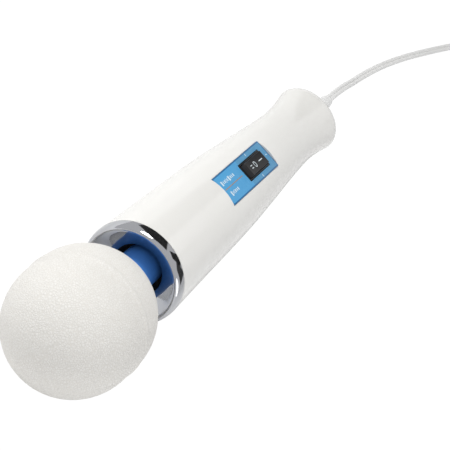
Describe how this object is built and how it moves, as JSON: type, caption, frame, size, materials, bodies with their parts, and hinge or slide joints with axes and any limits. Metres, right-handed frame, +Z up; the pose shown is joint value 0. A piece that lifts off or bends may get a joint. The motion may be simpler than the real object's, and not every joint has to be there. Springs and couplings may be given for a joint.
{
  "type": "handheld wand massager",
  "caption": "Handheld wand massager: vinyl ball head on a flexible blue neck, chrome collar, tapered white handle with rocker switch, and a mains lead with plug.",
  "frame": {"origin": "middle of the wand without its lead, on the surface that it lies on", "axes": "+X from the head towards the tail where the lead leaves, +Z up out of the switch panel, +Y to its left"},
  "size_m": [0.5829, 0.1104, 0.0626],
  "materials": {
    "handle_plastic": "gloss white moulded ABS, slightly warm",
    "head_vinyl": "soft matte vinyl with a fine leather grain",
    "bezel_chrome": "bright chrome plate",
    "neck_blue": "smooth satin blue flexible sleeve",
    "panel_blue": "satin printed blue label",
    "switch_black": "fine textured black",
    "plate_metal": "brushed blank plate",
    "plain_steel": "machined steel",
    "laminated_steel": "stacked laminations, varnished",
    "copper_wire": "enamelled copper",
    "brass_metal": "bright brass",
    "blade_brass": "nickel-washed brass blades",
    "carbon_black": "dull black",
    "board_green": "green board",
    "inner_plastic": "natural moulded nylon",
    "mount_rubber": "black rubber",
    "wire_rubber": "grey sleeve",
    "lead_plastic": "satin off-white flexible PVC",
    "tie_rubber": "soft black band"
  },
  "bodies": {
    "handle": {"label_plate": "panel_blue", "switch_body": "switch_black", "switch_terminal_1": "brass_metal", "switch_terminal_2": "brass_metal", "switch_terminal_3": "brass_metal", "handle_top_shell": "handle_plastic", "handle_bottom_shell": "handle_plastic", "rating_plate": "plate_metal", "handle_screw_1": "plain_steel", "handle_screw_2": "plain_steel", "handle_screw_3": "plain_steel", "handle_screw_4": "plain_steel", "front_bezel": "bezel_chrome", "strain_relief": "lead_plastic", "circuit_board": "board_green", "rectifier_diode": "carbon_black", "inner_lead": "wire_rubber", "stator_core": "laminated_steel", "field_coil_upper": "copper_wire", "field_coil_lower": "copper_wire", "motor_front_bracket": "plain_steel", "motor_bearing_front": "plain_steel", "motor_mount_front": "mount_rubber", "motor_rear_bracket": "plain_steel", "motor_bearing_rear": "plain_steel", "motor_mount_rear": "mount_rubber", "carbon_brush_left": "carbon_black", "brush_holder_left": "brass_metal", "carbon_brush_right": "carbon_black", "brush_holder_right": "brass_metal", "neck_socket": "mount_rubber", "power_cord": "lead_plastic", "cord_coil": "lead_plastic", "cord_tie": "tie_rubber", "plug_body": "lead_plastic", "plug_blade_1": "blade_brass", "plug_blade_2": "blade_brass", "plug_lead": "lead_plastic"},
    "rocker": {"rocker_button": "switch_black"},
    "rotor": {"motor_shaft": "plain_steel", "armature_core": "laminated_steel", "armature_winding_front": "copper_wire", "armature_winding_rear": "copper_wire", "commutator": "copper_wire", "cooling_fan": "inner_plastic", "drive_collar": "plain_steel", "drive_spring": "plain_steel"},
    "neck": {"neck_guide_ring": "inner_plastic", "neck_spring": "plain_steel", "neck_boot": "neck_blue"},
    "head": {"head_cap": "head_vinyl", "head_core_front": "inner_plastic", "head_core_rear": "inner_plastic", "head_screw_1": "plain_steel", "head_screw_2": "plain_steel", "neck_collar": "inner_plastic", "head_bearing_front": "plain_steel", "head_bearing_rear": "plain_steel"},
    "head_shaft": {"head_shaft": "plain_steel", "eccentric_weight": "brass_metal"}
  },
  "joints": [
    {"name": "rocker_tilt", "type": "hinge", "parent": "handle", "child": "rocker", "pos_m": [0.02757, 0, 0.03746], "axis": [0, 1, 0], "range_deg": [-9, 9]},
    {"name": "motor_spin", "type": "hinge", "parent": "handle", "child": "rotor", "pos_m": [-0.03644, 0, 0.02551], "axis": [0.9979, 0, -0.0654], "continuous": true},
    {"name": "neck_nod", "type": "hinge", "parent": "handle", "child": "neck", "pos_m": [-0.07536, 0, 0.02806], "axis": [0, 1, 0], "range_deg": [-8, 8], "stiffness_Nm_per_rad": 12, "deforming": ["neck_boot", "neck_spring", "drive_spring"]},
    {"name": "head_sway", "type": "hinge", "parent": "neck", "child": "head", "pos_m": [-0.08534, 0, 0.02872], "axis": [0.0654, 0, 0.9979], "range_deg": [-8, 8], "stiffness_Nm_per_rad": 12, "deforming": ["neck_boot", "neck_spring", "drive_spring"]},
    {"name": "shaft_spin", "type": "hinge", "parent": "head", "child": "head_shaft", "pos_m": [-0.12525, 0, 0.03133], "axis": [0.9979, 0, -0.0654], "continuous": true}
  ],
  "couplings": [
    {"joint": "shaft_spin", "follows": "motor_spin", "ratio": 1}
  ]
}
